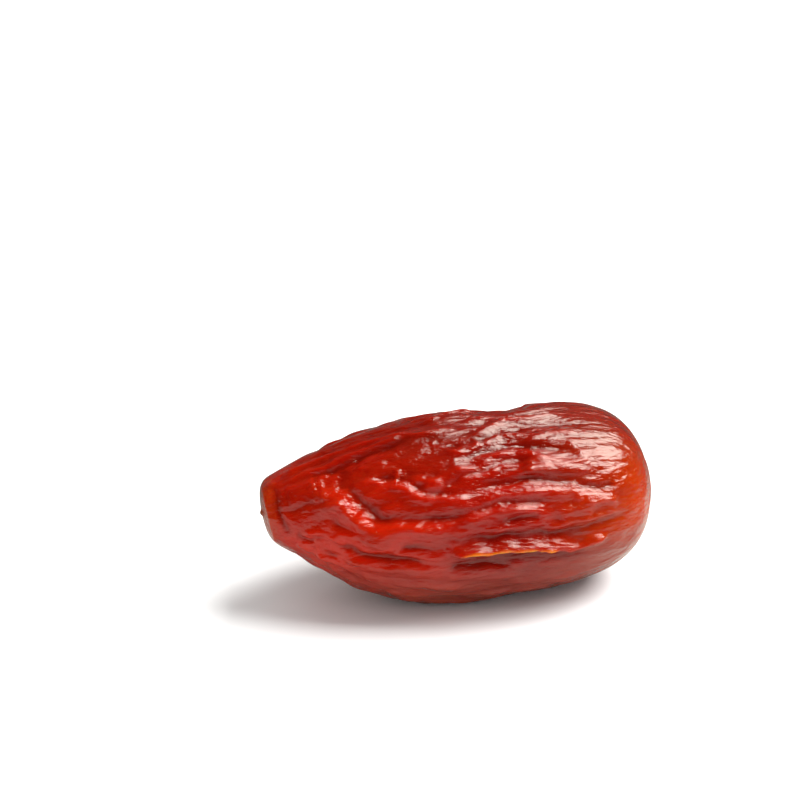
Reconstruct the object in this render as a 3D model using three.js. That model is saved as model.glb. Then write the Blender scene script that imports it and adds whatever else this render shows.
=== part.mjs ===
// A dried date lying on its side: one closed solid of wrinkled skin over flesh. The narrow blossom tip points
// to -X, the broad stem end with the scar of its cap to +X, and a small flat spot below is where it rests.
// Millimetres, +Z up. The origin is the middle of the footprint, on the surface that the fruit rests on.
import * as THREE from "three";

const FULL_TURN = 2 * Math.PI;

// Driving dimensions
const LENGTH = 41.2; // tip to stem end
const BELLY = 9.8; // half the height at the thickest place
const WIDE = 1.03; // half the width over half the height
const TIP_RISE = 1.1; // how much higher the tip's centre stands than the belly's
const TIP_SPAN = 14; // length over which it rises
const END_RISE = 0.45; // the same at the stem end
const END_SPAN = 16;
const LEAN = 0.12; // how far the tip's blunt face leans, its top forward, for each millimetre of height
const LEAN_SPAN = 6;
const FLAT_DEPTH = 0.4; // how much of the belly is pressed flat where it rests

// Mesh
const AROUND = 96;
const ALONG = 56;
const END_CROWDING = 0.05; // draws the rings closer towards both ends
const STATIONS = 400; // spaced points kept along the outline
const NUDGE = 0.05; // mm between the points that a slope is taken from
const SEED = 83;

// The outline from tip to stem end, as distance from the tip and radius
const outline = new THREE.Path()
  .moveTo(0.25, 0)
  .bezierCurveTo(0.22, 1.1, 0.3, 1.9, 0.5, 2.5)
  .bezierCurveTo(0.7, 3.1, 1.1, 3.5, 1.9, 3.9)
  .bezierCurveTo(6.9, 6.5, 11.8, BELLY, 20.6, BELLY)
  .bezierCurveTo(34, BELLY, LENGTH, 10.2, LENGTH, 0);
const stations = outline.getSpacedPoints(STATIONS);
const SKIN = outline.getLength(); // tip to stem end over the skin

// Slow lumps of the whole body: share of the radius, waves around, turn for each millimetre of skin, and the
// start in radians
const LUMPS = [
  [0.01, 2, 0.02, -0.7],
  [0.012, 3, 0.1, 0.6],
  [0.008, 5, -0.16, 2.2],
];

// Folds and furrows that show from the front. Height (furrows are negative), half-width on the upper side and
// on the lower side in mm, then the route: distance over the skin from the tip in mm, and angle around the
// fruit in degrees, 0 at the front and 90 on top.
const FRONT_FOLDS = [
  // The rim of the tip's blunt face and the furrow behind it
  [0.22, 0.35, 0.35, [[2.9, 110], [2.8, 60], [2.9, 20], [3.1, -20], [3.2, -55]]],
  [-0.3, 0.45, 0.45, [[4.3, 78], [4.1, 50], [4.2, 25], [4.6, 5], [5, -15]]],
  // Long folds from the tip over the top
  [0.14, 0.6, 0.6, [[5, 108], [9, 106], [14, 104], [19, 103], [24, 101], [30, 100], [36, 99]]],
  [-0.3, 0.5, 0.35, [[5.5, 99], [9, 94], [12, 91.5], [15, 90.5], [19, 89], [23, 88]]],
  [0.26, 0.28, 0.4, [[4.6, 93], [6, 89], [8, 86.5], [12, 84.5], [15, 84], [18, 82], [21, 81]]],
  [-0.16, 0.3, 0.3, [[6.5, 83], [9, 80], [12, 79], [14, 79.5], [16, 81]]],
  [0.34, 0.6, 0.28, [[5, 67], [8, 71], [10.5, 72], [13, 74], [15.5, 77], [18, 79], [21, 79]]],
  [-0.4, 0.35, 0.6, [[5.2, 61], [8, 65], [10.5, 67], [13, 70], [16, 74], [19, 76], [22, 74.5]]],
  // The raised panel beside the tip, which ends in a step down to the right
  [0.3, 1.3, 1.2, [[5.2, 46], [7, 49], [8.6, 52]]],
  [0.34, 1.1, 0.4, [[9.2, 31], [9.1, 40], [9, 50], [9.3, 60], [10, 69]]],
  [-0.22, 0.5, 0.8, [[11, 44], [11, 54], [11.2, 66]]],
  [-0.2, 0.4, 0.35, [[5, 24], [6.5, 31], [8, 35], [9.3, 37]]],
  // The long wavy fold along the front and the arched one above it
  [0.68, 0.9, 0.95, [[6, 23], [7.6, 27], [9, 30.5], [10.2, 33], [11.1, 28], [12, 19.5], [12.9, 11.5],
    [13.9, 8], [15, 9.5], [16.2, 13], [17.4, 15.5], [18.6, 14.5], [19.8, 12.5], [21.2, 12], [23, 13],
    [24.5, 14.5]]],
  [-0.4, 0.6, 0.8, [[11.6, 50], [12.4, 41], [13.3, 31], [14.3, 23], [15.4, 20], [16.8, 20], [18.5, 20.5],
    [20.5, 20], [22.5, 21], [24, 22.5]]],
  [0.27, 0.5, 0.7, [[11.8, 42], [12.6, 46], [13.6, 39], [14.8, 41.5], [16, 42.5], [17.4, 39.5], [18.8, 36],
    [20.2, 33], [21.4, 31], [23, 29], [24.2, 27.5], [25.4, 26.5]]],
  [-0.3, 0.6, 0.45, [[13.4, 46], [14.6, 49.5], [16.4, 49], [18.2, 45], [19.4, 38], [20.6, 35], [22.4, 34.5],
    [24.2, 35]]],
  [0.26, 0.35, 0.25, [[16.4, 45], [16.9, 50], [17.3, 54]]],
  [0.24, 0.3, 0.35, [[13.2, 49], [14.6, 48], [15.4, 44.5]]],
  [0.2, 0.25, 0.3, [[12.6, 62], [13.8, 61], [15, 61.5], [16.4, 60]]],
  [0.22, 0.3, 0.35, [[18.2, 44.5], [19.2, 45], [20.2, 44], [21.4, 42]]],
  [0.2, 0.3, 0.35, [[19.6, 41], [20.4, 39], [21.6, 38.5]]],
  [-0.16, 0.4, 0.4, [[17.8, 50], [19.4, 49.5], [21.5, 47]]],
  // Low folds of the front's lower half
  [0.28, 0.5, 0.9, [[9.2, 11], [10.6, 7], [12.4, 3.5], [14.5, 3], [16.5, 4]]],
  [-0.28, 0.6, 0.4, [[9.5, 16], [11, 12.5], [12.5, 9], [14, 8.5]]],
  [0.34, 0.45, 0.8, [[16, -1], [17.8, -4], [20, -4.5], [22, -3.5]]],
  [-0.34, 0.5, 0.4, [[16.5, 3], [18, 1], [20, 0.5], [22, 2]]],
  [0.48, 0.45, 1, [[10, -9], [11.8, -12.5], [13.5, -15.5], [15.5, -15.5], [17.5, -14], [20, -13.5],
    [22, -15]]],
  [-0.5, 0.6, 0.35, [[10.5, -3], [12, -6.5], [14, -9], [16, -8], [18, -8], [20.5, -8.5]]],
  [-0.25, 0.5, 0.4, [[5.6, -6], [6.6, -8], [7.8, -9]]],
  [-0.25, 0.5, 0.4, [[8, -20], [9.3, -19], [10.5, -18.5]]],
  [0.28, 0.4, 0.7, [[8, -26], [9.5, -24], [11.5, -23]]],
  [-0.42, 0.7, 0.35, [[21.5, -15], [23.5, -14], [26, -15], [28.5, -17]]],
  [0.36, 0.45, 0.9, [[21, -21], [24, -21], [27, -22], [29.5, -24]]],
  [0.31, 0.7, 0.9, [[12, -30], [15, -31], [18, -30], [21, -31], [24, -33]]],
  [0.25, 0.7, 0.9, [[28, -31], [32, -33], [36, -36]]],
  [0.34, 0.35, 0.7, [[9, -40], [12, -42], [15, -41.5], [18, -44], [21, -43]]],
  [-0.34, 0.5, 0.4, [[12.5, -49], [15.5, -48], [18.5, -50], [22, -49], [25, -51]]],
  [0.31, 0.4, 0.7, [[16, -57], [19, -56], [22, -57.5], [26, -56], [30, -58]]],
  [0.28, 0.4, 0.7, [[25, -42], [28, -43.5], [31, -43], [34, -46]]],
  [0.3, 0.4, 0.7, [[6.5, 2], [8, 3.5], [9.6, 1], [11, -3]]],
  [-0.28, 0.5, 0.4, [[7, -3], [8.6, -1.5], [10.2, -5], [11.6, -9]]],
  // The folds across the broad half
  [0.4, 0.85, 0.9, [[24, 25.5], [25.5, 26.5], [27, 28.5], [28.2, 30], [30, 30], [32.5, 28.5], [35, 27],
    [35.9, 26]]],
  [-0.3, 0.55, 0.7, [[25, 34.5], [26.5, 37], [28.2, 38.5], [30, 38.5], [32.5, 37.5], [34.5, 35.5],
    [35.6, 35]]],
  [0.36, 0.55, 0.6, [[34.6, 23.5], [36, 22], [38, 20], [40, 18]]],
  [-0.26, 0.5, 0.5, [[34.8, 32], [36.2, 30.5], [38, 29.5], [39.6, 28]]],
  [0.4, 0.45, 0.6, [[22.2, 16], [23.6, 17], [25, 18], [27, 20], [28.5, 20.5], [30, 19.5], [31.8, 18],
    [33.5, 17]]],
  [-0.34, 0.5, 0.4, [[24, 23], [25.5, 24], [27, 26], [29, 26.5], [31, 25], [33, 23]]],
  [0.45, 0.4, 0.5, [[26, 10], [27.4, 10.5], [28.8, 10.5], [30.3, 11], [32, 12]]],
  [-0.26, 0.4, 0.3, [[27.2, 15], [29.3, 14.8], [31.2, 15]]],
  [0.3, 1, 1.2, [[33, 14], [35, 15], [37, 13]]],
  [-0.3, 0.4, 0.8, [[21.5, 4], [24, 6.5], [26.4, 5.5], [28, 6.5], [30, 7], [31.4, 5], [32.7, 3], [35, 4.5],
    [38, 6.5], [40.5, 8], [42, 9]]],
  [0.24, 0.4, 0.4, [[21.5, 9], [23.5, 11], [26, 10.5], [27.4, 11]]],
  [0.26, 0.4, 0.4, [[31.5, 11], [33, 8.5], [35, 9], [38, 10.5], [40.5, 12]]],
  // The sharp lip over an undercut, low on the broad half
  [1.15, 0.65, 0.26, [[20.8, -1.5], [22.2, -3], [23.6, -3.5], [25, -3], [27, -2.5], [29, -3], [31.3, -5],
    [33.5, -7], [35.3, -8]]],
  [-0.45, 0.3, 1, [[22.5, -6], [24.5, -9], [27, -8.5], [29.5, -9], [32, -10.5], [34.5, -12], [36.5, -13]]],
  [0.75, 0.42, 0.35, [[33.2, -7.6], [34.6, -8.2], [36, -7.8], [37.4, -6.5], [38.8, -4.5]]],
  // Folds of the upper front, over a broad hollow along the top
  [-0.75, 2.2, 1.8, [[24.5, 112], [27.5, 113], [30, 113], [31.5, 113], [33.5, 114]]],
  [0.36, 0.32, 0.45, [[18.4, 77], [20.5, 77], [22.5, 78], [24.2, 80]]],
  [0.44, 0.5, 0.8, [[20.8, 88], [22.4, 93], [24, 97], [25.6, 100], [27, 101]]],
  [0.16, 0.35, 0.7, [[22.6, 88], [24.4, 91], [26.4, 92], [29, 92]]],
  [0.36, 0.5, 0.6, [[24.4, 68], [26, 72], [27.6, 77], [29.4, 82.5], [31.2, 84.5], [33, 84.5], [35.3, 88],
    [37, 86]]],
  [-0.28, 0.5, 0.4, [[25, 79], [27.5, 84], [30.5, 88], [34, 91], [38, 94]]],
  [-0.3, 0.5, 0.4, [[25.4, 66], [28, 71.5], [30.5, 74], [33, 76], [36, 77], [39, 78]]],
  [0.28, 0.3, 0.35, [[21.8, 63], [23.4, 59.5], [24.8, 59], [25.6, 63], [25.3, 69]]],
  [-0.2, 0.4, 0.35, [[21.4, 69], [23, 66], [24.2, 64]]],
  [0.24, 0.3, 0.4, [[26.2, 64], [27.4, 66.5], [28.6, 69.5]]],
  [0.34, 0.5, 0.6, [[30.4, 63], [32, 66], [33.6, 67.5], [35, 67], [36.4, 66]]],
  [-0.34, 0.5, 0.4, [[23.5, 56.5], [25.5, 57], [27.5, 60], [29.5, 61.5], [31.5, 58.5], [33.5, 56],
    [35.5, 54.5]]],
  [0.42, 0.35, 0.6, [[22.2, 51], [23.6, 48.5], [25, 48], [26.2, 51], [27.6, 54.5], [29.4, 56.5]]],
  [-0.32, 0.6, 0.4, [[23, 45.5], [25.5, 46.5], [28, 49], [30.5, 50.5], [32, 51]]],
  [0.24, 0.35, 0.4, [[22.8, 41], [24.4, 42], [26, 44], [27.6, 45]]],
  [0.6, 0.8, 2.4, [[30.4, 39], [30.6, 44], [30.9, 50], [31.3, 56]]],
  [0.3, 0.55, 0.7, [[31, 44], [32.6, 44.5], [34.2, 45], [36, 46], [37.6, 47.5]]],
  [0.14, 0.3, 0.4, [[35.2, 60], [35.9, 54.5], [36.6, 51]]],
];

// Folds of the back and the underside, laid by a rule: the least and the most of each measure
const BACK_FOLDS = 70;
const BACK_ANGLE = [130, 292];
const BACK_HEIGHT = [0.2, 0.5];
const BACK_WIDTH = [0.4, 0.85];
const BACK_LOWER = [0.6, 1.4]; // half-width on the lower side over that on the upper side
const BACK_LENGTH = [6, 18];
const BACK_SLANT = 0.8; // degrees for each millimetre of route, either way
const BACK_WOBBLE = 3.5; // degrees, either way
const BACK_POINTS = 6; // in each route
const BARE_TIP = 5; // skin without them at the tip and at the stem end
const BARE_END = 7;

// Every fold
const FOLD_POWER = 1.5; // below 2 makes crests and furrows crisper than a bell curve
const FOLD_FADE = 0.22; // share of a fold's route over which each end dies away
const FOLD_STEPS = 8; // samples in each stretch between two points of a route

// Small wrinkles all over: random waves, long along the fruit and short around it
const WAVES = 26;
const WAVE_AROUND = 2.3; // mm
const WAVE_ALONG = 5.5;
const WAVE_SPREAD = 0.25; // how far the spacing around strays from its mean, as a share
const WAVE_HEIGHT = 0.11;
const WAVE_SOFTNESS = 0.3; // rounds the bottoms of the creases
const WAVE_MEAN = 0.8; // average of the waves, taken off so that the body keeps its size
const WAVE_FROM = 2; // how far from the tip they begin, and over what length they grow to full height
const WAVE_GROWTH = 6;
const WAVE_TO = 8; // how far from the stem end they stop, and over what length they die away
const WAVE_FALL = 10;

// The folds wander off their routes, as random waves of this length carry them
const WANDER = 0.12; // mm
const WANDER_LENGTH = 2.8;
const WANDER_WAVES = 8;

// The two ends
const TIP_NIB = { radius: 0.35, height: 0.28 };
const STEM_SCAR = { radius: 2.5, depth: 0.55, edge: 0.8 };
const SCAR_RIM = { radius: 2.9, height: 0.15, width: 0.6 };
const SCAR_HOLE = { radius: 0.7, depth: 0.5 };

// Park and Miller's generator, the same on every machine
function makeRandom(seed) {
  let state = seed;
  return () => {
    state = (state * 16807) % 2147483647;
    return state / 2147483647;
  };
}

function between(random, low, high) {
  return low + (high - low) * random();
}

function ease(u) {
  const t = THREE.MathUtils.clamp(u, 0, 1);
  return t * t * (3 - 2 * t);
}

function station(s) {
  const at = THREE.MathUtils.clamp((s / SKIN) * STATIONS, 0, STATIONS);
  const i = Math.min(Math.floor(at), STATIONS - 1);
  return stations[i].clone().lerp(stations[i + 1], at - i);
}

// The smooth body: a point at distance s over the skin from the tip and at an angle around the fruit
function bodyPoint(s, angle) {
  const { x, y } = station(s);
  let swell = 1;
  for (const [share, around, turn, start] of LUMPS) {
    swell += share * Math.cos(around * angle + turn * s + start);
  }
  const up = y * swell * Math.sin(angle);
  const out = WIDE * y * swell * Math.cos(angle);
  const rise = TIP_RISE * ease(1 - x / TIP_SPAN) + END_RISE * ease((x - LENGTH + END_SPAN) / END_SPAN);
  return new THREE.Vector3(x - LENGTH / 2 - LEAN * up * ease(1 - x / LEAN_SPAN), -out, rise + up);
}

function bodyNormal(s, angle) {
  const near = THREE.MathUtils.clamp(s, 4 * NUDGE, SKIN - 4 * NUDGE);
  const turn = NUDGE / Math.max(station(near).y, NUDGE);
  const lengthwise = bodyPoint(near + NUDGE, angle).sub(bodyPoint(near - NUDGE, angle));
  const round = bodyPoint(near, angle + turn).sub(bodyPoint(near, angle - turn));
  return lengthwise.cross(round).normalize();
}

// A fold as samples on the body, each with the direction to its upper side and its share of the full height
function layFold([height, upper, lower, route]) {
  const spline = new THREE.SplineCurve(route.map(([s, degrees]) => new THREE.Vector2(s, degrees)));
  const steps = FOLD_STEPS * (route.length - 1);
  const places = spline.getPoints(steps).map(({ x, y }) => [x, THREE.MathUtils.degToRad(y)]);
  const points = places.map(([s, angle]) => bodyPoint(s, angle));
  const samples = points.map((point, i) => {
    const along = points[Math.min(i + 1, steps)].clone().sub(points[Math.max(i - 1, 0)]).normalize();
    const side = bodyNormal(...places[i]).cross(along);
    const fade = ease(Math.min(i, steps - i) / steps / FOLD_FADE);
    return { point, side, fade };
  });
  return { height, upper, lower, samples };
}

function backFolds(random) {
  return Array.from({ length: BACK_FOLDS }, () => {
    const furrow = random() < 0.5;
    const height = (furrow ? -1 : 1) * between(random, ...BACK_HEIGHT);
    const width = between(random, ...BACK_WIDTH);
    const length = between(random, ...BACK_LENGTH);
    const from = between(random, BARE_TIP, SKIN - BARE_END - length);
    const angle = between(random, ...BACK_ANGLE);
    const slant = between(random, -BACK_SLANT, BACK_SLANT);
    const route = Array.from({ length: BACK_POINTS }, (_, i) => {
      const s = from + (length * i) / (BACK_POINTS - 1);
      return [s, angle + slant * (s - from) + between(random, -BACK_WOBBLE, BACK_WOBBLE)];
    });
    return [height, width, width * between(random, ...BACK_LOWER), route];
  });
}

function foldRelief(folds, p) {
  let relief = 0;
  for (const { height, upper, lower, samples } of folds) {
    let nearest = samples[0];
    let least = Infinity;
    for (const sample of samples) {
      const d = sample.point.distanceToSquared(p);
      if (d < least) {
        least = d;
        nearest = sample;
      }
    }
    const offset = p.clone().sub(nearest.point);
    const width = offset.dot(nearest.side) > 0 ? upper : lower;
    relief += height * nearest.fade * Math.exp(-((Math.sqrt(least) / width) ** FOLD_POWER));
  }
  return relief;
}

function makeWaves(random) {
  return Array.from({ length: WAVES }, () => {
    const turn = FULL_TURN * random();
    const around = (FULL_TURN / WAVE_AROUND) * between(random, 1 - WAVE_SPREAD, 1 + WAVE_SPREAD);
    const along = (FULL_TURN / WAVE_ALONG) * between(random, -1, 1);
    const direction = new THREE.Vector3(along, around * Math.cos(turn), around * Math.sin(turn));
    return { direction, start: FULL_TURN * random() };
  });
}

function makeWander(random) {
  const towards = () => new THREE.Vector3(random() - 0.5, random() - 0.5, random() - 0.5).normalize();
  return Array.from({ length: WANDER_WAVES }, () => {
    const direction = towards().multiplyScalar(FULL_TURN / WANDER_LENGTH);
    const shift = towards();
    return { direction, shift, start: FULL_TURN * random() };
  });
}

function wander(waves, p) {
  const moved = p.clone();
  for (const { direction, shift, start } of waves) {
    moved.addScaledVector(shift, WANDER * Math.sqrt(2 / WANDER_WAVES) * Math.cos(direction.dot(p) + start));
  }
  return moved;
}

function waveRelief(waves, p) {
  let sum = 0;
  for (const { direction, start } of waves) sum += Math.cos(direction.dot(p) + start);
  const wave = sum * Math.sqrt(2 / WAVES);
  return WAVE_HEIGHT * (Math.hypot(wave, WAVE_SOFTNESS) - WAVE_MEAN);
}

function endRelief(s) {
  const tip = TIP_NIB.height * Math.exp(-((s / TIP_NIB.radius) ** 2));
  const fromStem = SKIN - s;
  const dish = -STEM_SCAR.depth * ease((STEM_SCAR.radius - fromStem) / STEM_SCAR.edge);
  const rim = SCAR_RIM.height * Math.exp(-(((fromStem - SCAR_RIM.radius) / SCAR_RIM.width) ** 2));
  const hole = -SCAR_HOLE.depth * Math.exp(-((fromStem / SCAR_HOLE.radius) ** 2));
  return tip + dish + rim + hole;
}

// The skin: rings of vertices between a vertex at each end, all moved out or in from the body by the relief
function makeSkin() {
  const random = makeRandom(SEED);
  const folds = [...FRONT_FOLDS, ...backFolds(random)].map(layFold);
  const waves = makeWaves(random);
  const wanderings = makeWander(random);
  const lowest = -BELLY + FLAT_DEPTH;
  const vertices = [];
  const addVertex = (s, angle) => {
    const p = bodyPoint(s, angle);
    const strayed = wander(wanderings, p);
    const fading = ease((s - WAVE_FROM) / WAVE_GROWTH) * ease((SKIN - s - WAVE_TO) / WAVE_FALL);
    const relief = foldRelief(folds, strayed) + fading * waveRelief(waves, strayed) + endRelief(s);
    p.addScaledVector(bodyNormal(s, angle), relief);
    vertices.push(p.x, p.y, Math.max(p.z, lowest));
  };
  addVertex(0, 0);
  for (let ring = 1; ring < ALONG; ring++) {
    const share = ring / ALONG;
    const s = SKIN * (share - END_CROWDING * Math.sin(FULL_TURN * share));
    for (let k = 0; k < AROUND; k++) addVertex(s, (FULL_TURN * k) / AROUND);
  }
  addVertex(SKIN, 0);

  const faces = [];
  const vertexAt = (ring, k) => 1 + (ring - 1) * AROUND + (k % AROUND);
  const last = vertexAt(ALONG, 0);
  for (let k = 0; k < AROUND; k++) {
    faces.push(0, vertexAt(1, k), vertexAt(1, k + 1));
    for (let ring = 1; ring < ALONG - 1; ring++) {
      const [a, b] = [vertexAt(ring, k), vertexAt(ring + 1, k)];
      const [c, d] = [vertexAt(ring + 1, k + 1), vertexAt(ring, k + 1)];
      faces.push(a, b, c, a, c, d);
    }
    faces.push(last, vertexAt(ALONG - 1, k + 1), vertexAt(ALONG - 1, k));
  }

  const skin = new THREE.BufferGeometry();
  skin.setAttribute("position", new THREE.Float32BufferAttribute(vertices, 3));
  skin.setIndex(faces);
  skin.computeBoundingBox();
  const { min, max } = skin.boundingBox;
  skin.translate(-(min.x + max.x) / 2, -(min.y + max.y) / 2, -min.z);
  skin.computeVertexNormals();
  return skin;
}

const skinMaterial = new THREE.MeshStandardMaterial({ color: 0x8f1d0b, roughness: 0.22, metalness: 0 });

const date = new THREE.Group();
const fruit = new THREE.Mesh(makeSkin(), skinMaterial);
fruit.name = "date_fruit";
date.add(fruit);

export default date;
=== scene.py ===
# A dried date on a pale floor. The fruit is one glossy, slightly translucent skin, drawn tight over the flesh
# in long folds. Lengths of its form are millimetres. Those of its colours, the floor and the lights are
# metres, as the scene is.
import bpy
import math
import numpy as np
from mathutils import Matrix, Vector


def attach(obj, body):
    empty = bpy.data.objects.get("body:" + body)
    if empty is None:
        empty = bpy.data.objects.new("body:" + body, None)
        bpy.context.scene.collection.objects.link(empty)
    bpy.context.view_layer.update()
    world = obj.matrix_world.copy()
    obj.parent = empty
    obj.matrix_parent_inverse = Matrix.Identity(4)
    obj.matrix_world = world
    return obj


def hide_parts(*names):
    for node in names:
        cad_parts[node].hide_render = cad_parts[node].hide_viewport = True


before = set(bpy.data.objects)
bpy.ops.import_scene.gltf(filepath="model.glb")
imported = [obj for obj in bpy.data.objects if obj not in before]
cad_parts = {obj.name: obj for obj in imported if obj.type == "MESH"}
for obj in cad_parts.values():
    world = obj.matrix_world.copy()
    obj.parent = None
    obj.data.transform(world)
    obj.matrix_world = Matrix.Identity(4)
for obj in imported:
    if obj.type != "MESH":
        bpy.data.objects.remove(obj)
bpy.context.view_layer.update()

MM = 0.001
FULL_TURN = 2 * math.pi

# The body
LENGTH = 41.2  # tip to stem end
BELLY = 9.8  # half the height at the thickest place
WIDE = 1.03  # half the width over half the height
TIP_RISE = 1.1  # how much higher the tip's centre stands than the belly's
TIP_SPAN = 14  # length over which it rises
END_RISE = 0.45  # the same at the stem end
END_SPAN = 16
LEAN = 0.12  # how far the tip's blunt face leans, its top forward, for each millimetre of height
LEAN_SPAN = 6
FLAT_DEPTH = 0.4  # how much of the belly is pressed flat where it rests

# Its outline in four curves from tip to stem end, each with four points: distance from the tip, radius
CURVE_STEPS = 400
OUTLINE = [
    [(0.25, 0), (0.22, 1.1), (0.3, 1.9), (0.5, 2.5)],
    [(0.5, 2.5), (0.7, 3.1), (1.1, 3.5), (1.9, 3.9)],
    [(1.9, 3.9), (6.9, 6.5), (11.8, BELLY), (20.6, BELLY)],
    [(20.6, BELLY), (34, BELLY), (LENGTH, 10.2), (LENGTH, 0)],
]

# Slow lumps: share of the radius, waves around, turn for each millimetre of skin, start in radians
LUMPS = [(0.01, 2, 0.02, -0.7), (0.012, 3, 0.1, 0.6), (0.008, 5, -0.16, 2.2)]

# Mesh
AROUND = 312
ALONG = 316
END_CROWDING = 0.05  # draws the rings closer towards both ends
NUDGE = 0.05  # between the points that a slope is taken from
SEED = 83

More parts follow.
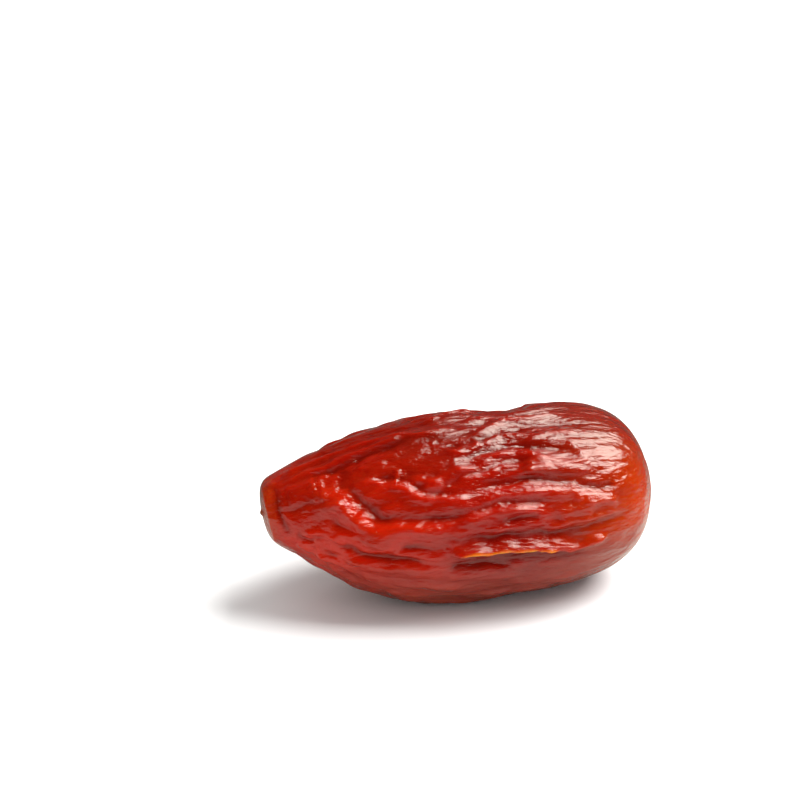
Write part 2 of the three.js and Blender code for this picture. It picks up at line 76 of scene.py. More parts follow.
# Folds and furrows that show from the front. Height (furrows are negative), half-width on the upper side and
# on the lower side, then the route: distance over the skin from the tip, and angle around the fruit in
# degrees, 0 at the front and 90 on top.
FRONT_FOLDS = [
    # The rim of the tip's blunt face and the furrow behind it
    [0.22, 0.35, 0.35, [[2.9, 110], [2.8, 60], [2.9, 20], [3.1, -20], [3.2, -55]]],
    [-0.3, 0.45, 0.45, [[4.3, 78], [4.1, 50], [4.2, 25], [4.6, 5], [5, -15]]],
    # Long folds from the tip over the top
    [0.14, 0.6, 0.6, [[5, 108], [9, 106], [14, 104], [19, 103], [24, 101], [30, 100], [36, 99]]],
    [-0.3, 0.5, 0.35, [[5.5, 99], [9, 94], [12, 91.5], [15, 90.5], [19, 89], [23, 88]]],
    [0.26, 0.28, 0.4, [[4.6, 93], [6, 89], [8, 86.5], [12, 84.5], [15, 84], [18, 82], [21, 81]]],
    [-0.16, 0.3, 0.3, [[6.5, 83], [9, 80], [12, 79], [14, 79.5], [16, 81]]],
    [0.34, 0.6, 0.28, [[5, 67], [8, 71], [10.5, 72], [13, 74], [15.5, 77], [18, 79], [21, 79]]],
    [-0.4, 0.35, 0.6, [[5.2, 61], [8, 65], [10.5, 67], [13, 70], [16, 74], [19, 76], [22, 74.5]]],
    # The raised panel beside the tip, which ends in a step down to the right
    [0.3, 1.3, 1.2, [[5.2, 46], [7, 49], [8.6, 52]]],
    [0.34, 1.1, 0.4, [[9.2, 31], [9.1, 40], [9, 50], [9.3, 60], [10, 69]]],
    [-0.22, 0.5, 0.8, [[11, 44], [11, 54], [11.2, 66]]],
    [-0.2, 0.4, 0.35, [[5, 24], [6.5, 31], [8, 35], [9.3, 37]]],
    # The long wavy fold along the front and the arched one above it
    [0.68, 0.9, 0.95, [[6, 23], [7.6, 27], [9, 30.5], [10.2, 33], [11.1, 28], [12, 19.5], [12.9, 11.5],
     [13.9, 8], [15, 9.5], [16.2, 13], [17.4, 15.5], [18.6, 14.5], [19.8, 12.5], [21.2, 12], [23, 13],
     [24.5, 14.5]]],
    [-0.4, 0.6, 0.8, [[11.6, 50], [12.4, 41], [13.3, 31], [14.3, 23], [15.4, 20], [16.8, 20], [18.5, 20.5],
     [20.5, 20], [22.5, 21], [24, 22.5]]],
    [0.27, 0.5, 0.7, [[11.8, 42], [12.6, 46], [13.6, 39], [14.8, 41.5], [16, 42.5], [17.4, 39.5], [18.8, 36],
     [20.2, 33], [21.4, 31], [23, 29], [24.2, 27.5], [25.4, 26.5]]],
    [-0.3, 0.6, 0.45, [[13.4, 46], [14.6, 49.5], [16.4, 49], [18.2, 45], [19.4, 38], [20.6, 35], [22.4, 34.5],
     [24.2, 35]]],
    [0.26, 0.35, 0.25, [[16.4, 45], [16.9, 50], [17.3, 54]]],
    [0.24, 0.3, 0.35, [[13.2, 49], [14.6, 48], [15.4, 44.5]]],
    [0.2, 0.25, 0.3, [[12.6, 62], [13.8, 61], [15, 61.5], [16.4, 60]]],
    [0.22, 0.3, 0.35, [[18.2, 44.5], [19.2, 45], [20.2, 44], [21.4, 42]]],
    [0.2, 0.3, 0.35, [[19.6, 41], [20.4, 39], [21.6, 38.5]]],
    [-0.16, 0.4, 0.4, [[17.8, 50], [19.4, 49.5], [21.5, 47]]],
    # Low folds of the front's lower half
    [0.28, 0.5, 0.9, [[9.2, 11], [10.6, 7], [12.4, 3.5], [14.5, 3], [16.5, 4]]],
    [-0.28, 0.6, 0.4, [[9.5, 16], [11, 12.5], [12.5, 9], [14, 8.5]]],
    [0.34, 0.45, 0.8, [[16, -1], [17.8, -4], [20, -4.5], [22, -3.5]]],
    [-0.34, 0.5, 0.4, [[16.5, 3], [18, 1], [20, 0.5], [22, 2]]],
    [0.48, 0.45, 1, [[10, -9], [11.8, -12.5], [13.5, -15.5], [15.5, -15.5], [17.5, -14], [20, -13.5],
     [22, -15]]],
    [-0.5, 0.6, 0.35, [[10.5, -3], [12, -6.5], [14, -9], [16, -8], [18, -8], [20.5, -8.5]]],
    [-0.25, 0.5, 0.4, [[5.6, -6], [6.6, -8], [7.8, -9]]],
    [-0.25, 0.5, 0.4, [[8, -20], [9.3, -19], [10.5, -18.5]]],
    [0.28, 0.4, 0.7, [[8, -26], [9.5, -24], [11.5, -23]]],
    [-0.42, 0.7, 0.35, [[21.5, -15], [23.5, -14], [26, -15], [28.5, -17]]],
    [0.36, 0.45, 0.9, [[21, -21], [24, -21], [27, -22], [29.5, -24]]],
    [0.31, 0.7, 0.9, [[12, -30], [15, -31], [18, -30], [21, -31], [24, -33]]],
    [0.25, 0.7, 0.9, [[28, -31], [32, -33], [36, -36]]],
    [0.34, 0.35, 0.7, [[9, -40], [12, -42], [15, -41.5], [18, -44], [21, -43]]],
    [-0.34, 0.5, 0.4, [[12.5, -49], [15.5, -48], [18.5, -50], [22, -49], [25, -51]]],
    [0.31, 0.4, 0.7, [[16, -57], [19, -56], [22, -57.5], [26, -56], [30, -58]]],
    [0.28, 0.4, 0.7, [[25, -42], [28, -43.5], [31, -43], [34, -46]]],
    [0.3, 0.4, 0.7, [[6.5, 2], [8, 3.5], [9.6, 1], [11, -3]]],
    [-0.28, 0.5, 0.4, [[7, -3], [8.6, -1.5], [10.2, -5], [11.6, -9]]],
    # The folds across the broad half
    [0.4, 0.85, 0.9, [[24, 25.5], [25.5, 26.5], [27, 28.5], [28.2, 30], [30, 30], [32.5, 28.5], [35, 27],
     [35.9, 26]]],
    [-0.3, 0.55, 0.7, [[25, 34.5], [26.5, 37], [28.2, 38.5], [30, 38.5], [32.5, 37.5], [34.5, 35.5],
     [35.6, 35]]],
    [0.36, 0.55, 0.6, [[34.6, 23.5], [36, 22], [38, 20], [40, 18]]],
    [-0.26, 0.5, 0.5, [[34.8, 32], [36.2, 30.5], [38, 29.5], [39.6, 28]]],
    [0.4, 0.45, 0.6, [[22.2, 16], [23.6, 17], [25, 18], [27, 20], [28.5, 20.5], [30, 19.5], [31.8, 18],
     [33.5, 17]]],
    [-0.34, 0.5, 0.4, [[24, 23], [25.5, 24], [27, 26], [29, 26.5], [31, 25], [33, 23]]],
    [0.45, 0.4, 0.5, [[26, 10], [27.4, 10.5], [28.8, 10.5], [30.3, 11], [32, 12]]],
    [-0.26, 0.4, 0.3, [[27.2, 15], [29.3, 14.8], [31.2, 15]]],
    [0.3, 1, 1.2, [[33, 14], [35, 15], [37, 13]]],
    [-0.3, 0.4, 0.8, [[21.5, 4], [24, 6.5], [26.4, 5.5], [28, 6.5], [30, 7], [31.4, 5], [32.7, 3], [35, 4.5],
     [38, 6.5], [40.5, 8], [42, 9]]],
    [0.24, 0.4, 0.4, [[21.5, 9], [23.5, 11], [26, 10.5], [27.4, 11]]],
    [0.26, 0.4, 0.4, [[31.5, 11], [33, 8.5], [35, 9], [38, 10.5], [40.5, 12]]],
    # The sharp lip over an undercut, low on the broad half
    [1.15, 0.65, 0.26, [[20.8, -1.5], [22.2, -3], [23.6, -3.5], [25, -3], [27, -2.5], [29, -3], [31.3, -5],
     [33.5, -7], [35.3, -8]]],
    [-0.45, 0.3, 1, [[22.5, -6], [24.5, -9], [27, -8.5], [29.5, -9], [32, -10.5], [34.5, -12], [36.5, -13]]],
    [0.75, 0.42, 0.35, [[33.2, -7.6], [34.6, -8.2], [36, -7.8], [37.4, -6.5], [38.8, -4.5]]],
    # Folds of the upper front, over a broad hollow along the top
    [-0.75, 2.2, 1.8, [[24.5, 112], [27.5, 113], [30, 113], [31.5, 113], [33.5, 114]]],
    [0.36, 0.32, 0.45, [[18.4, 77], [20.5, 77], [22.5, 78], [24.2, 80]]],
    [0.44, 0.5, 0.8, [[20.8, 88], [22.4, 93], [24, 97], [25.6, 100], [27, 101]]],
    [0.16, 0.35, 0.7, [[22.6, 88], [24.4, 91], [26.4, 92], [29, 92]]],
    [0.36, 0.5, 0.6, [[24.4, 68], [26, 72], [27.6, 77], [29.4, 82.5], [31.2, 84.5], [33, 84.5], [35.3, 88],
     [37, 86]]],
    [-0.28, 0.5, 0.4, [[25, 79], [27.5, 84], [30.5, 88], [34, 91], [38, 94]]],
    [-0.3, 0.5, 0.4, [[25.4, 66], [28, 71.5], [30.5, 74], [33, 76], [36, 77], [39, 78]]],
    [0.28, 0.3, 0.35, [[21.8, 63], [23.4, 59.5], [24.8, 59], [25.6, 63], [25.3, 69]]],
    [-0.2, 0.4, 0.35, [[21.4, 69], [23, 66], [24.2, 64]]],
    [0.24, 0.3, 0.4, [[26.2, 64], [27.4, 66.5], [28.6, 69.5]]],
    [0.34, 0.5, 0.6, [[30.4, 63], [32, 66], [33.6, 67.5], [35, 67], [36.4, 66]]],
    [-0.34, 0.5, 0.4, [[23.5, 56.5], [25.5, 57], [27.5, 60], [29.5, 61.5], [31.5, 58.5], [33.5, 56],
     [35.5, 54.5]]],
    [0.42, 0.35, 0.6, [[22.2, 51], [23.6, 48.5], [25, 48], [26.2, 51], [27.6, 54.5], [29.4, 56.5]]],
    [-0.32, 0.6, 0.4, [[23, 45.5], [25.5, 46.5], [28, 49], [30.5, 50.5], [32, 51]]],
    [0.24, 0.35, 0.4, [[22.8, 41], [24.4, 42], [26, 44], [27.6, 45]]],
    [0.6, 0.8, 2.4, [[30.4, 39], [30.6, 44], [30.9, 50], [31.3, 56]]],
    [0.3, 0.55, 0.7, [[31, 44], [32.6, 44.5], [34.2, 45], [36, 46], [37.6, 47.5]]],
    [0.14, 0.3, 0.4, [[35.2, 60], [35.9, 54.5], [36.6, 51]]],
]

# Folds of the back and the underside, laid by a rule. Pairs are the least and the most.
BACK_FOLDS = 70
BACK_ANGLE = (130, 292)
BACK_HEIGHT = (0.2, 0.5)
BACK_WIDTH = (0.4, 0.85)
BACK_LOWER = (0.6, 1.4)  # half-width on the lower side over that on the upper side
BACK_LENGTH = (6, 18)
BACK_SLANT = 0.8  # degrees for each millimetre of route, either way
BACK_WOBBLE = 3.5  # degrees, either way
BACK_POINTS = 6  # in each route
BARE_TIP = 5  # skin without them at the tip and at the stem end
BARE_END = 7

# The shape of every fold
FOLD_POWER = 1.5  # below 2 makes crests and furrows crisper than a bell curve
FOLD_FADE = 0.22  # share of a fold's route over which each end dies away
FOLD_STEPS = 24  # samples in each stretch between two points of a route
FOLD_REACH = 3  # half-widths from its route, beyond which a fold is too low to count

# Small wrinkles all over, long along the fruit and short around it
WAVES = 26
WAVE_AROUND = 2.3
WAVE_ALONG = 5.5
WAVE_SPREAD = 0.25  # how far the spacing around strays from its mean, as a share
WAVE_HEIGHT = 0.11
WAVE_SOFTNESS = 0.3  # rounds the bottoms of the creases
WAVE_MEAN = 0.8  # average of the waves, taken off so that the body keeps its size
WAVE_FROM = 2  # how far from the tip they begin, and over what length they grow to full height
WAVE_GROWTH = 6
WAVE_TO = 8  # how far from the stem end they stop, and over what length they die away
WAVE_FALL = 10

# The folds wander off their routes, as random waves of this length carry them
WANDER = 0.12
WANDER_LENGTH = 2.8
WANDER_WAVES = 8

# The two ends
NIB_RADIUS = 0.35
NIB_HEIGHT = 0.28
SCAR_RADIUS = 2.5
SCAR_DEPTH = 0.55
SCAR_EDGE = 0.8
RIM_RADIUS = 2.9
RIM_HEIGHT = 0.15
RIM_WIDTH = 0.6
HOLE_RADIUS = 0.7
HOLE_DEPTH = 0.5
WOODY_NIB = 1.6  # reach of the tip's woody colour, in nib radii
WOODY_EDGE = 0.3  # and how far outside the scar its woody colour begins

# The skin's colours. Each one laid over those before it has a range: where it begins and ends, and its share
# of the colour at both. Places are metres in the scene's frame, and reliefs are the folds' millimetres.
# Painted light: the tip half is a lighter red than the stem half, making up for the key light, which falls
# from the stem end's side
TIP_HALF_PAINTED_FILL = (0.68, 0.016, 0.002)
STEM_HALF = (0.44, 0.006, 0.001)
PAINTED_FILL_FADE_X = (-0.010, 0.002, 0, 1)
# Orange towards the stem end: partly the fruit's own lighter tone, partly painted glow of the key light
# shining through the flesh there
ORANGE_AND_PAINTED_GLOW = (0.46, 0.040, 0.003)
ORANGE_AND_PAINTED_GLOW_X = (0.004, 0.021, 0, 1)
TIP_EDGE = (0.62, 0.100, 0.012)
TIP_EDGE_X = (-0.0207, -0.0185, 0.5, 0)
# Painted shade: darker towards the top and the back, which face the key light, holding down how bright it
# lights them
TOP_BACK_PAINTED_SHADE = (0.095, 0.0035, 0.001)
TOP_BACK_PAINTED_SHADE_TOWARDS = (0, 0.5, 1)
TOP_BACK_PAINTED_SHADE_RANGE = (0.0050, 0.0190, 0, 0.87)
# Towards the bottom: darker and browner, with a painted pinkish-grey sheen standing in for the floor mirrored
# in the skin
BELLY_PAINTED_SHEEN = (0.46, 0.068, 0.040)
BELLY_PAINTED_SHEEN_Z = (0.0005, 0.009, 0.85, 0)
BLOTCH = (0.22, 0.003, 0.001)
BLOTCH_NOISE = (160, 3, (0.5, 1, 1))
BLOTCH_RANGE = (0.35, 0.7, 0, 0.5)
# Painted shade: darker down in the furrows
FURROW_PAINTED_SHADE = (0.17, 0.002, 0.001)
FURROW_PAINTED_SHADE_RELIEF = (-0.35, 0.0, 0.45, 0)
CREST = (0.25, 0.012, 0.003)
CREST_RELIEF = (0.2, 0.55, 0, 0.4)
# Painted glow: orange on the highest crests, standing in for light shining through the thin skin of the lip
LIP_PAINTED_GLOW = (0.80, 0.19, 0.008)
LIP_PAINTED_GLOW_RELIEF = (0.85, 1.12, 0, 0.9)
WOOD_DARK = (0.08, 0.026, 0.009)
WOOD_PALE = (0.25, 0.105, 0.048)
WOOD_NOISE = (900, 4)

# The skin's gloss and glow
SKIN_ROUGHNESS = 0.09
WOOD_ROUGHNESS = 0.6
COAT_WEIGHT = 0.3
COAT_ROUGHNESS = 0.04
REFRACTION = 1.45
GLOW_SPREAD = (1.0, 0.25, 0.08)
GLOW_REACH = 0.005

# The skin's bumps in three sizes: depth, strength, and a noise with its scale, detail and stretch
CREASE_DEPTH = 0.0006
CREASE_STRENGTH = 0.8
CREASE_NOISE = (700, 2, (0.25, 1, 1))
GRAIN_DEPTH = 0.0003
GRAIN_STRENGTH_X = (0.010, 0.018, 0.8, 0.15)
GRAIN_NOISE = (1500, 5, (0.4, 1, 1))
FINE_DEPTH = 0.00015
FINE_STRENGTH = 0.45
FINE_NOISE = (4200, 3, (0.4, 1, 1))

# The view
AZIMUTH = math.radians(-12)
ELEVATION = math.radians(25)
LENS = 150
SENSOR = 36
FRAME_PX = 800
PX_PER_MM = 9.55
BODY_PX = (454, 504)  # where the middle of the body shows in the photograph's frame
BODY_HEIGHT = 9.4  # and its height over the floor
CLIP_START = 0.01

# The lights and the floor
KEY_TILT = 34  # degrees from straight up to the right
KEY_OVER = 100  # degrees from the front of the fruit up over its top
KEY_SIZE = (0.48, 0.47)
KEY_RADIANCE = 12
SOFTBOX_DISTANCE = 0.6
ROOM_LIGHT = 0.015
WALL_LIGHT = 0.12
WALL_DROP = -0.1
WALL_FROM = 0.3  # where the wall's glow begins and where it is full, as cosines of the angle to its middle
WALL_TO = 0.9
FILL_LIGHT = 0.7
LIGHT_COLOUR = (0.97, 0.98, 0.86)
FLOOR_SIZE = 3
FLOOR_ROUGHNESS = 0.7
FLOOR_COLOUR = (0.87, 0.86, 0.97, 1)
# How much light the floor throws back: from, to, share at both
FLOOR_Y = (0, 0.03, 0.44, 0.085)
FLOOR_X = (0.03, 0.06, 1, 0.15)


# Park and Miller's generator, the same on every machine
def make_random(seed):
    state = seed

    def draw():
        nonlocal state
        state = (state * 16807) % 2147483647
        return state / 2147483647

    return draw


def between(random, low, high):
    return low + (high - low) * random()


def ease(u):
    t = np.clip(u, 0, 1)
    return t * t * (3 - 2 * t)


def trace_outline():
    points = []
    for piece in OUTLINE:
        a, b, c, d = [np.array(p, float) for p in piece]
        t = np.linspace(0, 1, CURVE_STEPS)[:, None]
        points.append((1 - t) ** 3 * a + 3 * t * (1 - t) ** 2 * b + 3 * t * t * (1 - t) * c + t ** 3 * d)
    points = np.concatenate(points)
    steps = np.linalg.norm(np.diff(points, axis=0), axis=1)
    return np.concatenate([[0], np.cumsum(steps)]), points


REACH, STATIONS = trace_outline()
SKIN = REACH[-1]  # tip to stem end over the skin


# The smooth body: points at distances s over the skin from the tip and at angles around the fruit
def body_point(s, angle):
    x = np.interp(s, REACH, STATIONS[:, 0])
    radius = np.interp(s, REACH, STATIONS[:, 1])
    swell = 1 + sum(share * np.cos(around * angle + turn * s + start) for share, around, turn, start in LUMPS)
    up = radius * swell * np.sin(angle)
    out = WIDE * radius * swell * np.cos(angle)
    rise = TIP_RISE * ease(1 - x / TIP_SPAN) + END_RISE * ease((x - LENGTH + END_SPAN) / END_SPAN)
    return np.stack([x - LENGTH / 2 - LEAN * up * ease(1 - x / LEAN_SPAN), -out, rise + up], axis=-1)


def unit(v):
    return v / np.maximum(np.linalg.norm(v, axis=-1, keepdims=True), 1e-9)


def body_normal(s, angle):
    near = np.clip(s, 4 * NUDGE, SKIN - 4 * NUDGE)
    turn = NUDGE / np.maximum(np.interp(near, REACH, STATIONS[:, 1]), NUDGE)
    lengthwise = body_point(near + NUDGE, angle) - body_point(near - NUDGE, angle)
    round_it = body_point(near, angle + turn) - body_point(near, angle - turn)
    return unit(np.cross(lengthwise, round_it))


# A curve through the points of a fold's route
def smooth_route(route):
    points = np.array([route[0]] + list(route) + [route[-1]], float)
    steps = FOLD_STEPS * (len(route) - 1)
    at = np.linspace(0, len(route) - 1, steps + 1)
    i = np.minimum(at.astype(int), len(route) - 2)
    t = (at - i)[:, None]
    a, b, c, d = points[i], points[i + 1], points[i + 2], points[i + 3]
    v0, v1 = (c - a) / 2, (d - b) / 2
    return (2 * b - 2 * c + v0 + v1) * t ** 3 + (3 * c - 3 * b - 2 * v0 - v1) * t ** 2 + v0 * t + b


def back_folds(random):
    folds = []
    for _ in range(BACK_FOLDS):
        furrow = random() < 0.5
        height = (-1 if furrow else 1) * between(random, *BACK_HEIGHT)
        width = between(random, *BACK_WIDTH)
        length = between(random, *BACK_LENGTH)
        start = between(random, BARE_TIP, SKIN - BARE_END - length)
        angle = between(random, *BACK_ANGLE)
        slant = between(random, -BACK_SLANT, BACK_SLANT)
        route = []
        for i in range(BACK_POINTS):
            s = start + length * i / (BACK_POINTS - 1)
            route.append((s, angle + slant * (s - start) + between(random, -BACK_WOBBLE, BACK_WOBBLE)))
        folds.append((height, width, width * between(random, *BACK_LOWER), route))
    return folds


# Each point takes from every fold the height at its nearest sample, on that sample's upper or lower side
def fold_relief(folds, p):
    relief = np.zeros(len(p))
    for height, upper, lower, route in folds:
        places = smooth_route(route)
        s, angle = places[:, 0], np.radians(places[:, 1])
        samples = body_point(s, angle)
        along = unit(np.gradient(samples, axis=0))
        side = np.cross(body_normal(s, angle), along)
        last = len(samples) - 1
        order = np.arange(last + 1)
        fade = ease(np.minimum(order, last - order) / last / FOLD_FADE)
        reach = FOLD_REACH * max(upper, lower)
        inside = np.all((p > samples.min(0) - reach) & (p < samples.max(0) + reach), axis=1)
        near = np.nonzero(inside)[0]
        offset = p[near][:, None, :] - samples[None]
        distance2 = np.einsum("ijk,ijk->ij", offset, offset)
        nearest = distance2.argmin(1)
        rows = np.arange(len(near))
        across = np.einsum("ij,ij->i", offset[rows, nearest], side[nearest])
        width = np.where(across > 0, upper, lower)
        distance = np.sqrt(distance2[rows, nearest])
        relief[near] += height * fade[nearest] * np.exp(-(distance / width) ** FOLD_POWER)
    return relief


def make_waves(random):
    waves = []
    for _ in range(WAVES):
        turn = FULL_TURN * random()
        around = FULL_TURN / WAVE_AROUND * between(random, 1 - WAVE_SPREAD, 1 + WAVE_SPREAD)
        along = FULL_TURN / WAVE_ALONG * between(random, -1, 1)
        direction = np.array([along, around * math.cos(turn), around * math.sin(turn)])
        waves.append((direction, FULL_TURN * random()))
    return waves


def make_wander(random):
    waves = []
    for _ in range(WANDER_WAVES):
        towards = np.array([random() - 0.5, random() - 0.5, random() - 0.5])
        shift = np.array([random() - 0.5, random() - 0.5, random() - 0.5])
        direction = unit(towards) * FULL_TURN / WANDER_LENGTH
        waves.append((direction, FULL_TURN * random(), unit(shift)))
    return waves


def wander(waves, p):
    share = WANDER * math.sqrt(2 / WANDER_WAVES)
    strays = [np.cos(p @ direction + start)[:, None] * shift for direction, start, shift in waves]
    return p + share * sum(strays)


def wave_relief(waves, p):
    total = sum(np.cos(p @ direction + start) for direction, start in waves) * math.sqrt(2 / WAVES)
    return WAVE_HEIGHT * (np.hypot(total, WAVE_SOFTNESS) - WAVE_MEAN)


def end_relief(s):
    nib = NIB_HEIGHT * np.exp(-(s / NIB_RADIUS) ** 2)
    from_stem = SKIN - s
    dish = -SCAR_DEPTH * ease((SCAR_RADIUS - from_stem) / SCAR_EDGE)
    rim = RIM_HEIGHT * np.exp(-((from_stem - RIM_RADIUS) / RIM_WIDTH) ** 2)
    hole = -HOLE_DEPTH * np.exp(-(from_stem / HOLE_RADIUS) ** 2)
    return nib + dish + rim + hole


# The skin as rings of vertices between one vertex at each end. Two values on each vertex tell the material
# how high the folds stand there, and how bare and woody the surface is.
def make_date():
    random = make_random(SEED)
    folds = FRONT_FOLDS + back_folds(random)
    waves = make_waves(random)
    wanderings = make_wander(random)
    share = np.arange(1, ALONG) / ALONG
    rings = SKIN * (share - END_CROWDING * np.sin(FULL_TURN * share))
    turns = FULL_TURN * np.arange(AROUND) / AROUND
    s = np.concatenate([[0], np.repeat(rings, AROUND), [SKIN]])
    angle = np.concatenate([[0], np.tile(turns, ALONG - 1), [0]])
    p = body_point(s, angle)
    strayed = wander(wanderings, p)
    fading = ease((s - WAVE_FROM) / WAVE_GROWTH) * ease((SKIN - s - WAVE_TO) / WAVE_FALL)
    relief = fold_relief(folds, strayed) + fading * wave_relief(waves, strayed)
    q = p + (relief + end_relief(s))[:, None] * body_normal(s, angle)
    q[:, 2] = np.maximum(q[:, 2], FLAT_DEPTH - BELLY)
    low, high = q.min(0), q.max(0)
    q -= [(low[0] + high[0]) / 2, (low[1] + high[1]) / 2, low[2]]

    ring, k = np.meshgrid(np.arange(ALONG - 2), np.arange(AROUND), indexing="ij")
    after = (k + 1) % AROUND
    first = 1 + ring * AROUND
    corners = [first + k, first + AROUND + k, first + AROUND + after, first + after]
    faces = np.stack(corners, -1).reshape(-1, 4).tolist()
    last = len(q) - 1
    for j in range(AROUND):
        turned = (j + 1) % AROUND
        faces.append([0, 1 + j, 1 + turned])
        faces.append([last, last - AROUND + turned, last - AROUND + j])
    mesh = bpy.data.meshes.new("date")
    mesh.from_pydata((q * MM).tolist(), [], faces)
    mesh.polygons.foreach_set("use_smooth", [True] * len(mesh.polygons))
    depth = mesh.attributes.new("relief", "FLOAT", "POINT")
    depth.data.foreach_set("value", relief.astype(np.float32))
    scar = ease((SCAR_RADIUS + WOODY_EDGE - (SKIN - s)) / SCAR_EDGE)
    nib = np.exp(-(s / NIB_RADIUS / WOODY_NIB) ** 2)
    bare = mesh.attributes.new("bare", "FLOAT", "POINT")
    bare.data.foreach_set("value", (scar + nib).astype(np.float32))
    mesh.update()
    date = bpy.data.objects.new("date", mesh)
    bpy.context.collection.objects.link(date)
    return date


def skin_material():
    material = bpy.data.materials.new("date_skin")
    material.use_nodes = True
    nodes, links = material.node_tree.nodes, material.node_tree.links
    shader = nodes["Principled BSDF"]

    def node(kind, **settings):
        made = nodes.new(kind)
        for name, value in settings.items():
            setattr(made, name, value)
        return made

    def noise(scale, detail, stretch=(1, 1, 1)):
        mapping = node("ShaderNodeMapping")
        mapping.inputs["Scale"].default_value = stretch
        links.new(place.outputs["Object"], mapping.inputs["Vector"])
        texture = node("ShaderNodeTexNoise")
        texture.inputs["Scale"].default_value = scale
        texture.inputs["Detail"].default_value = detail
        links.new(mapping.outputs["Vector"], texture.inputs["Vector"])
        return texture.outputs["Fac"]

    def ramp(value, low, high, dark, light):
        made = node("ShaderNodeMapRange", interpolation_type="SMOOTHSTEP")
        links.new(value, made.inputs["Value"])
        made.inputs["From Min"].default_value = low
        made.inputs["From Max"].default_value = high
        made.inputs["To Min"].default_value = dark
        made.inputs["To Max"].default_value = light
        return made.outputs["Result"]

    def mix(factor, a, b):
        made = node("ShaderNodeMix", data_type="RGBA")
        links.new(factor, made.inputs["Factor"])
        for colour, socket in ((a, made.inputs[6]), (b, made.inputs[7])):
            if isinstance(colour, tuple):
                socket.default_value = colour + (1,)
            else:
                links.new(colour, socket)
        return made.outputs[2]

    place = node("ShaderNodeTexCoord")
    parts = node("ShaderNodeSeparateXYZ")
    links.new(place.outputs["Object"], parts.inputs["Vector"])
    depth = node("ShaderNodeAttribute", attribute_name="relief")
    bare = node("ShaderNodeAttribute", attribute_name="bare")

    x, z = parts.outputs["X"], parts.outputs["Z"]
    relief, woody = depth.outputs["Fac"], bare.outputs["Fac"]
    away = node("ShaderNodeVectorMath", operation="DOT_PRODUCT")
    away.inputs[1].default_value = TOP_BACK_PAINTED_SHADE_TOWARDS
    links.new(place.outputs["Object"], away.inputs[0])

    # Painted light: lighter towards the tip, where the key light reaches less
    flesh = mix(ramp(x, *PAINTED_FILL_FADE_X), TIP_HALF_PAINTED_FILL, STEM_HALF)
    # Orange towards the stem end, partly the fruit's own tone and partly painted glow of light through the
    # flesh
    flesh = mix(ramp(x, *ORANGE_AND_PAINTED_GLOW_X), flesh, ORANGE_AND_PAINTED_GLOW)
    flesh = mix(ramp(x, *TIP_EDGE_X), flesh, TIP_EDGE)
    # Painted shade over the top and the back, where the key light falls most
    flesh = mix(ramp(away.outputs["Value"], *TOP_BACK_PAINTED_SHADE_RANGE), flesh, TOP_BACK_PAINTED_SHADE)
    # Painted sheen of the floor's reflection, and darker and browner, towards the bottom
    flesh = mix(ramp(z, *BELLY_PAINTED_SHEEN_Z), flesh, BELLY_PAINTED_SHEEN)
    flesh = mix(ramp(noise(*BLOTCH_NOISE), *BLOTCH_RANGE), flesh, BLOTCH)
    # Painted shade in the furrows
    flesh = mix(ramp(relief, *FURROW_PAINTED_SHADE_RELIEF), flesh, FURROW_PAINTED_SHADE)
    flesh = mix(ramp(relief, *CREST_RELIEF), flesh, CREST)
    # Painted glow of light through the thin skin on the highest crests
    flesh = mix(ramp(relief, *LIP_PAINTED_GLOW_RELIEF), flesh, LIP_PAINTED_GLOW)
    wood = mix(noise(*WOOD_NOISE), WOOD_DARK, WOOD_PALE)
    links.new(mix(woody, flesh, wood), shader.inputs["Base Color"])
    links.new(ramp(woody, 0, 1, SKIN_ROUGHNESS, WOOD_ROUGHNESS), shader.inputs["Roughness"])
    links.new(ramp(woody, 0, 1, COAT_WEIGHT, 0), shader.inputs["Coat Weight"])

    shader.inputs["Subsurface Weight"].default_value = 1
    shader.inputs["Subsurface Radius"].default_value = GLOW_SPREAD
    shader.inputs["Subsurface Scale"].default_value = GLOW_REACH
    shader.inputs["IOR"].default_value = REFRACTION
    shader.inputs["Coat Roughness"].default_value = COAT_ROUGHNESS

    creases = node("ShaderNodeBump")
    creases.inputs["Strength"].default_value = CREASE_STRENGTH
    creases.inputs["Distance"].default_value = CREASE_DEPTH
    links.new(noise(*CREASE_NOISE), creases.inputs["Height"])
    fine = node("ShaderNodeBump")
    fine.inputs["Strength"].default_value = FINE_STRENGTH
    fine.inputs["Distance"].default_value = FINE_DEPTH
    links.new(noise(*FINE_NOISE), fine.inputs["Height"])
    links.new(creases.outputs["Normal"], fine.inputs["Normal"])
    grain = node("ShaderNodeBump")
    grain.inputs["Distance"].default_value = GRAIN_DEPTH
    links.new(ramp(x, *GRAIN_STRENGTH_X), grain.inputs["Strength"])
    links.new(noise(*GRAIN_NOISE), grain.inputs["Height"])
    links.new(fine.outputs["Normal"], grain.inputs["Normal"])
    links.new(grain.outputs["Normal"], shader.inputs["Normal"])
    links.new(grain.outputs["Normal"], shader.inputs["Coat Normal"])
    return material


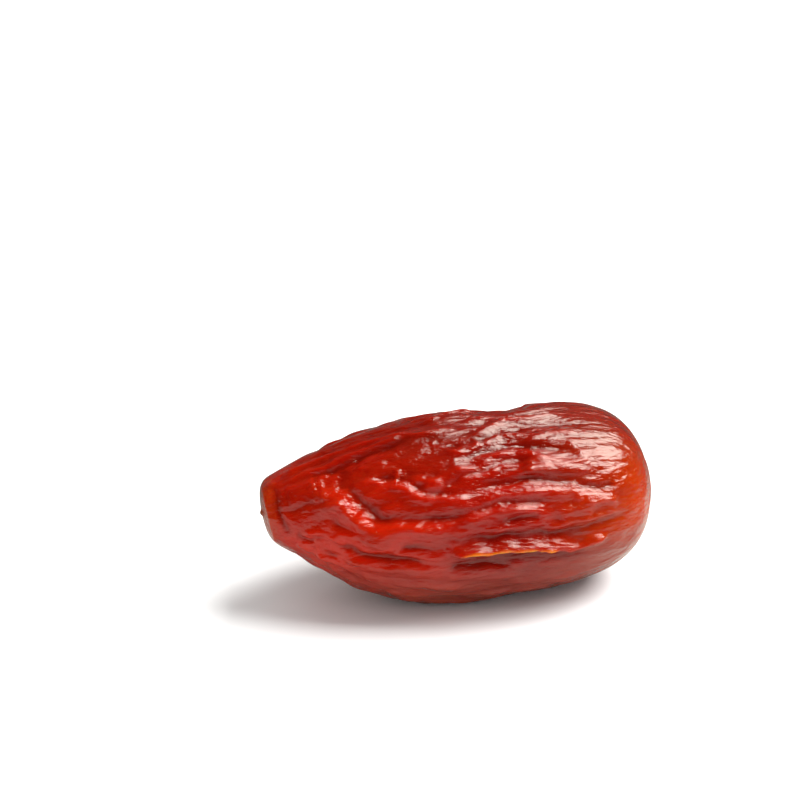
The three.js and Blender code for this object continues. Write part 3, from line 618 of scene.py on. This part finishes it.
# The floor is white to the eye but throws less light back, so that the fruit's lower side stays dark
def floor_material():
    material = bpy.data.materials.new("floor")
    material.use_nodes = True
    nodes, links = material.node_tree.nodes, material.node_tree.links
    shader = nodes["Principled BSDF"]
    shader.inputs["Roughness"].default_value = FLOOR_ROUGHNESS
    place = nodes.new("ShaderNodeTexCoord")
    parts = nodes.new("ShaderNodeSeparateXYZ")
    links.new(place.outputs["Object"], parts.inputs["Vector"])
    both = nodes.new("ShaderNodeMath")
    both.operation = "MULTIPLY"
    for slot, axis, limits in ((0, "Y", FLOOR_Y), (1, "X", FLOOR_X)):
        shade = nodes.new("ShaderNodeMapRange")
        shade.interpolation_type = "SMOOTHSTEP"
        for name, value in zip(("From Min", "From Max", "To Min", "To Max"), limits):
            shade.inputs[name].default_value = value
        links.new(parts.outputs[axis], shade.inputs["Value"])
        links.new(shade.outputs["Result"], both.inputs[slot])
    seen = nodes.new("ShaderNodeLightPath")
    choose = nodes.new("ShaderNodeMix")
    choose.data_type = "RGBA"
    links.new(seen.outputs["Is Camera Ray"], choose.inputs["Factor"])
    links.new(both.outputs["Value"], choose.inputs[6])
    choose.inputs[7].default_value = FLOOR_COLOUR
    links.new(choose.outputs[2], shader.inputs["Base Color"])
    return material


def add_floor():
    bpy.ops.mesh.primitive_plane_add(size=FLOOR_SIZE, location=(0, 0, 0))
    floor = bpy.context.active_object
    floor.name = "floor"
    floor.data.materials.append(floor_material())


def view_axes():
    back = Vector((math.sin(AZIMUTH) * math.cos(ELEVATION), -math.cos(AZIMUTH) * math.cos(ELEVATION),
                   math.sin(ELEVATION)))
    right = Vector((math.cos(AZIMUTH), math.sin(AZIMUTH), 0))
    return right, back.cross(right), back


def add_softbox(name, tilt, over, size, radiance):
    """A panel of light, seen from the fruit at a tilt to the right and at an angle up from its front."""
    right = view_axes()[0]
    away = Vector((-right.y, right.x, 0))
    tilt, over = math.radians(tilt), math.radians(over)
    towards = right * math.sin(tilt)
    towards += (Vector((0, 0, 1)) * math.sin(over) - away * math.cos(over)) * math.cos(tilt)
    light = bpy.data.lights.new(name, "AREA")
    light.shape = "RECTANGLE"
    light.size, light.size_y = size
    light.energy = radiance * math.pi * size[0] * size[1]
    light.color = LIGHT_COLOUR
    made = bpy.data.objects.new(name, light)
    across = away.cross(towards).normalized()
    turn = Matrix((across, towards.cross(across), towards)).transposed().to_4x4()
    made.matrix_world = Matrix.Translation(towards * SOFTBOX_DISTANCE) @ turn
    bpy.context.collection.objects.link(made)


def add_world():
    """A dark studio with a pale wall behind the fruit, low down."""
    world = bpy.data.worlds.new("studio")
    bpy.context.scene.world = world
    world.use_nodes = True
    nodes, links = world.node_tree.nodes, world.node_tree.links
    right = view_axes()[0]
    wall = Vector((-right.y, right.x, WALL_DROP)).normalized()
    place = nodes.new("ShaderNodeTexCoord")
    towards = nodes.new("ShaderNodeVectorMath")
    towards.operation = "DOT_PRODUCT"
    towards.inputs[1].default_value = wall
    links.new(place.outputs["Generated"], towards.inputs[0])
    glow = nodes.new("ShaderNodeMapRange")
    glow.interpolation_type = "SMOOTHSTEP"
    glow.inputs["From Min"].default_value = WALL_FROM
    glow.inputs["From Max"].default_value = WALL_TO
    glow.inputs["To Min"].default_value = ROOM_LIGHT
    glow.inputs["To Max"].default_value = WALL_LIGHT
    links.new(towards.outputs["Value"], glow.inputs["Value"])
    seen = nodes.new("ShaderNodeLightPath")
    soft = nodes.new("ShaderNodeMath")
    soft.operation = "MULTIPLY_ADD"
    links.new(seen.outputs["Is Diffuse Ray"], soft.inputs[0])
    soft.inputs[1].default_value = FILL_LIGHT
    links.new(glow.outputs["Result"], soft.inputs[2])
    room = nodes["Background"]
    room.inputs["Color"].default_value = LIGHT_COLOUR + (1,)
    links.new(soft.outputs["Value"], room.inputs["Strength"])
    backdrop = nodes.new("ShaderNodeBackground")
    backdrop.inputs["Color"].default_value = (1, 1, 1, 1)
    choose = nodes.new("ShaderNodeMixShader")
    links.new(seen.outputs["Is Camera Ray"], choose.inputs["Fac"])
    links.new(room.outputs["Background"], choose.inputs[1])
    links.new(backdrop.outputs["Background"], choose.inputs[2])
    links.new(choose.outputs["Shader"], nodes["World Output"].inputs["Surface"])


def add_camera():
    right, up, back = view_axes()
    distance = FRAME_PX * LENS / SENSOR / PX_PER_MM * MM
    aim = Vector((0, 0, BODY_HEIGHT * MM))
    aim -= right * ((BODY_PX[0] - FRAME_PX / 2) / PX_PER_MM * MM)
    aim += up * ((BODY_PX[1] - FRAME_PX / 2) / PX_PER_MM * MM)
    camera = bpy.data.cameras.new("camera")
    camera.lens = LENS
    camera.sensor_width = SENSOR
    camera.clip_start = CLIP_START
    made = bpy.data.objects.new("camera", camera)
    turn = Matrix((right, up, back)).transposed().to_4x4()
    made.matrix_world = Matrix.Translation(aim + back * distance) @ turn
    bpy.context.collection.objects.link(made)
    bpy.context.scene.camera = made


add_camera()
add_world()
add_floor()
add_softbox("key", KEY_TILT, KEY_OVER, KEY_SIZE, KEY_RADIANCE)
bpy.context.scene.view_settings.view_transform = "Standard"

date = make_date()
date.data.materials.append(skin_material())
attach(date, "root")
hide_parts("date_fruit")

bpy.context.view_layer.update()
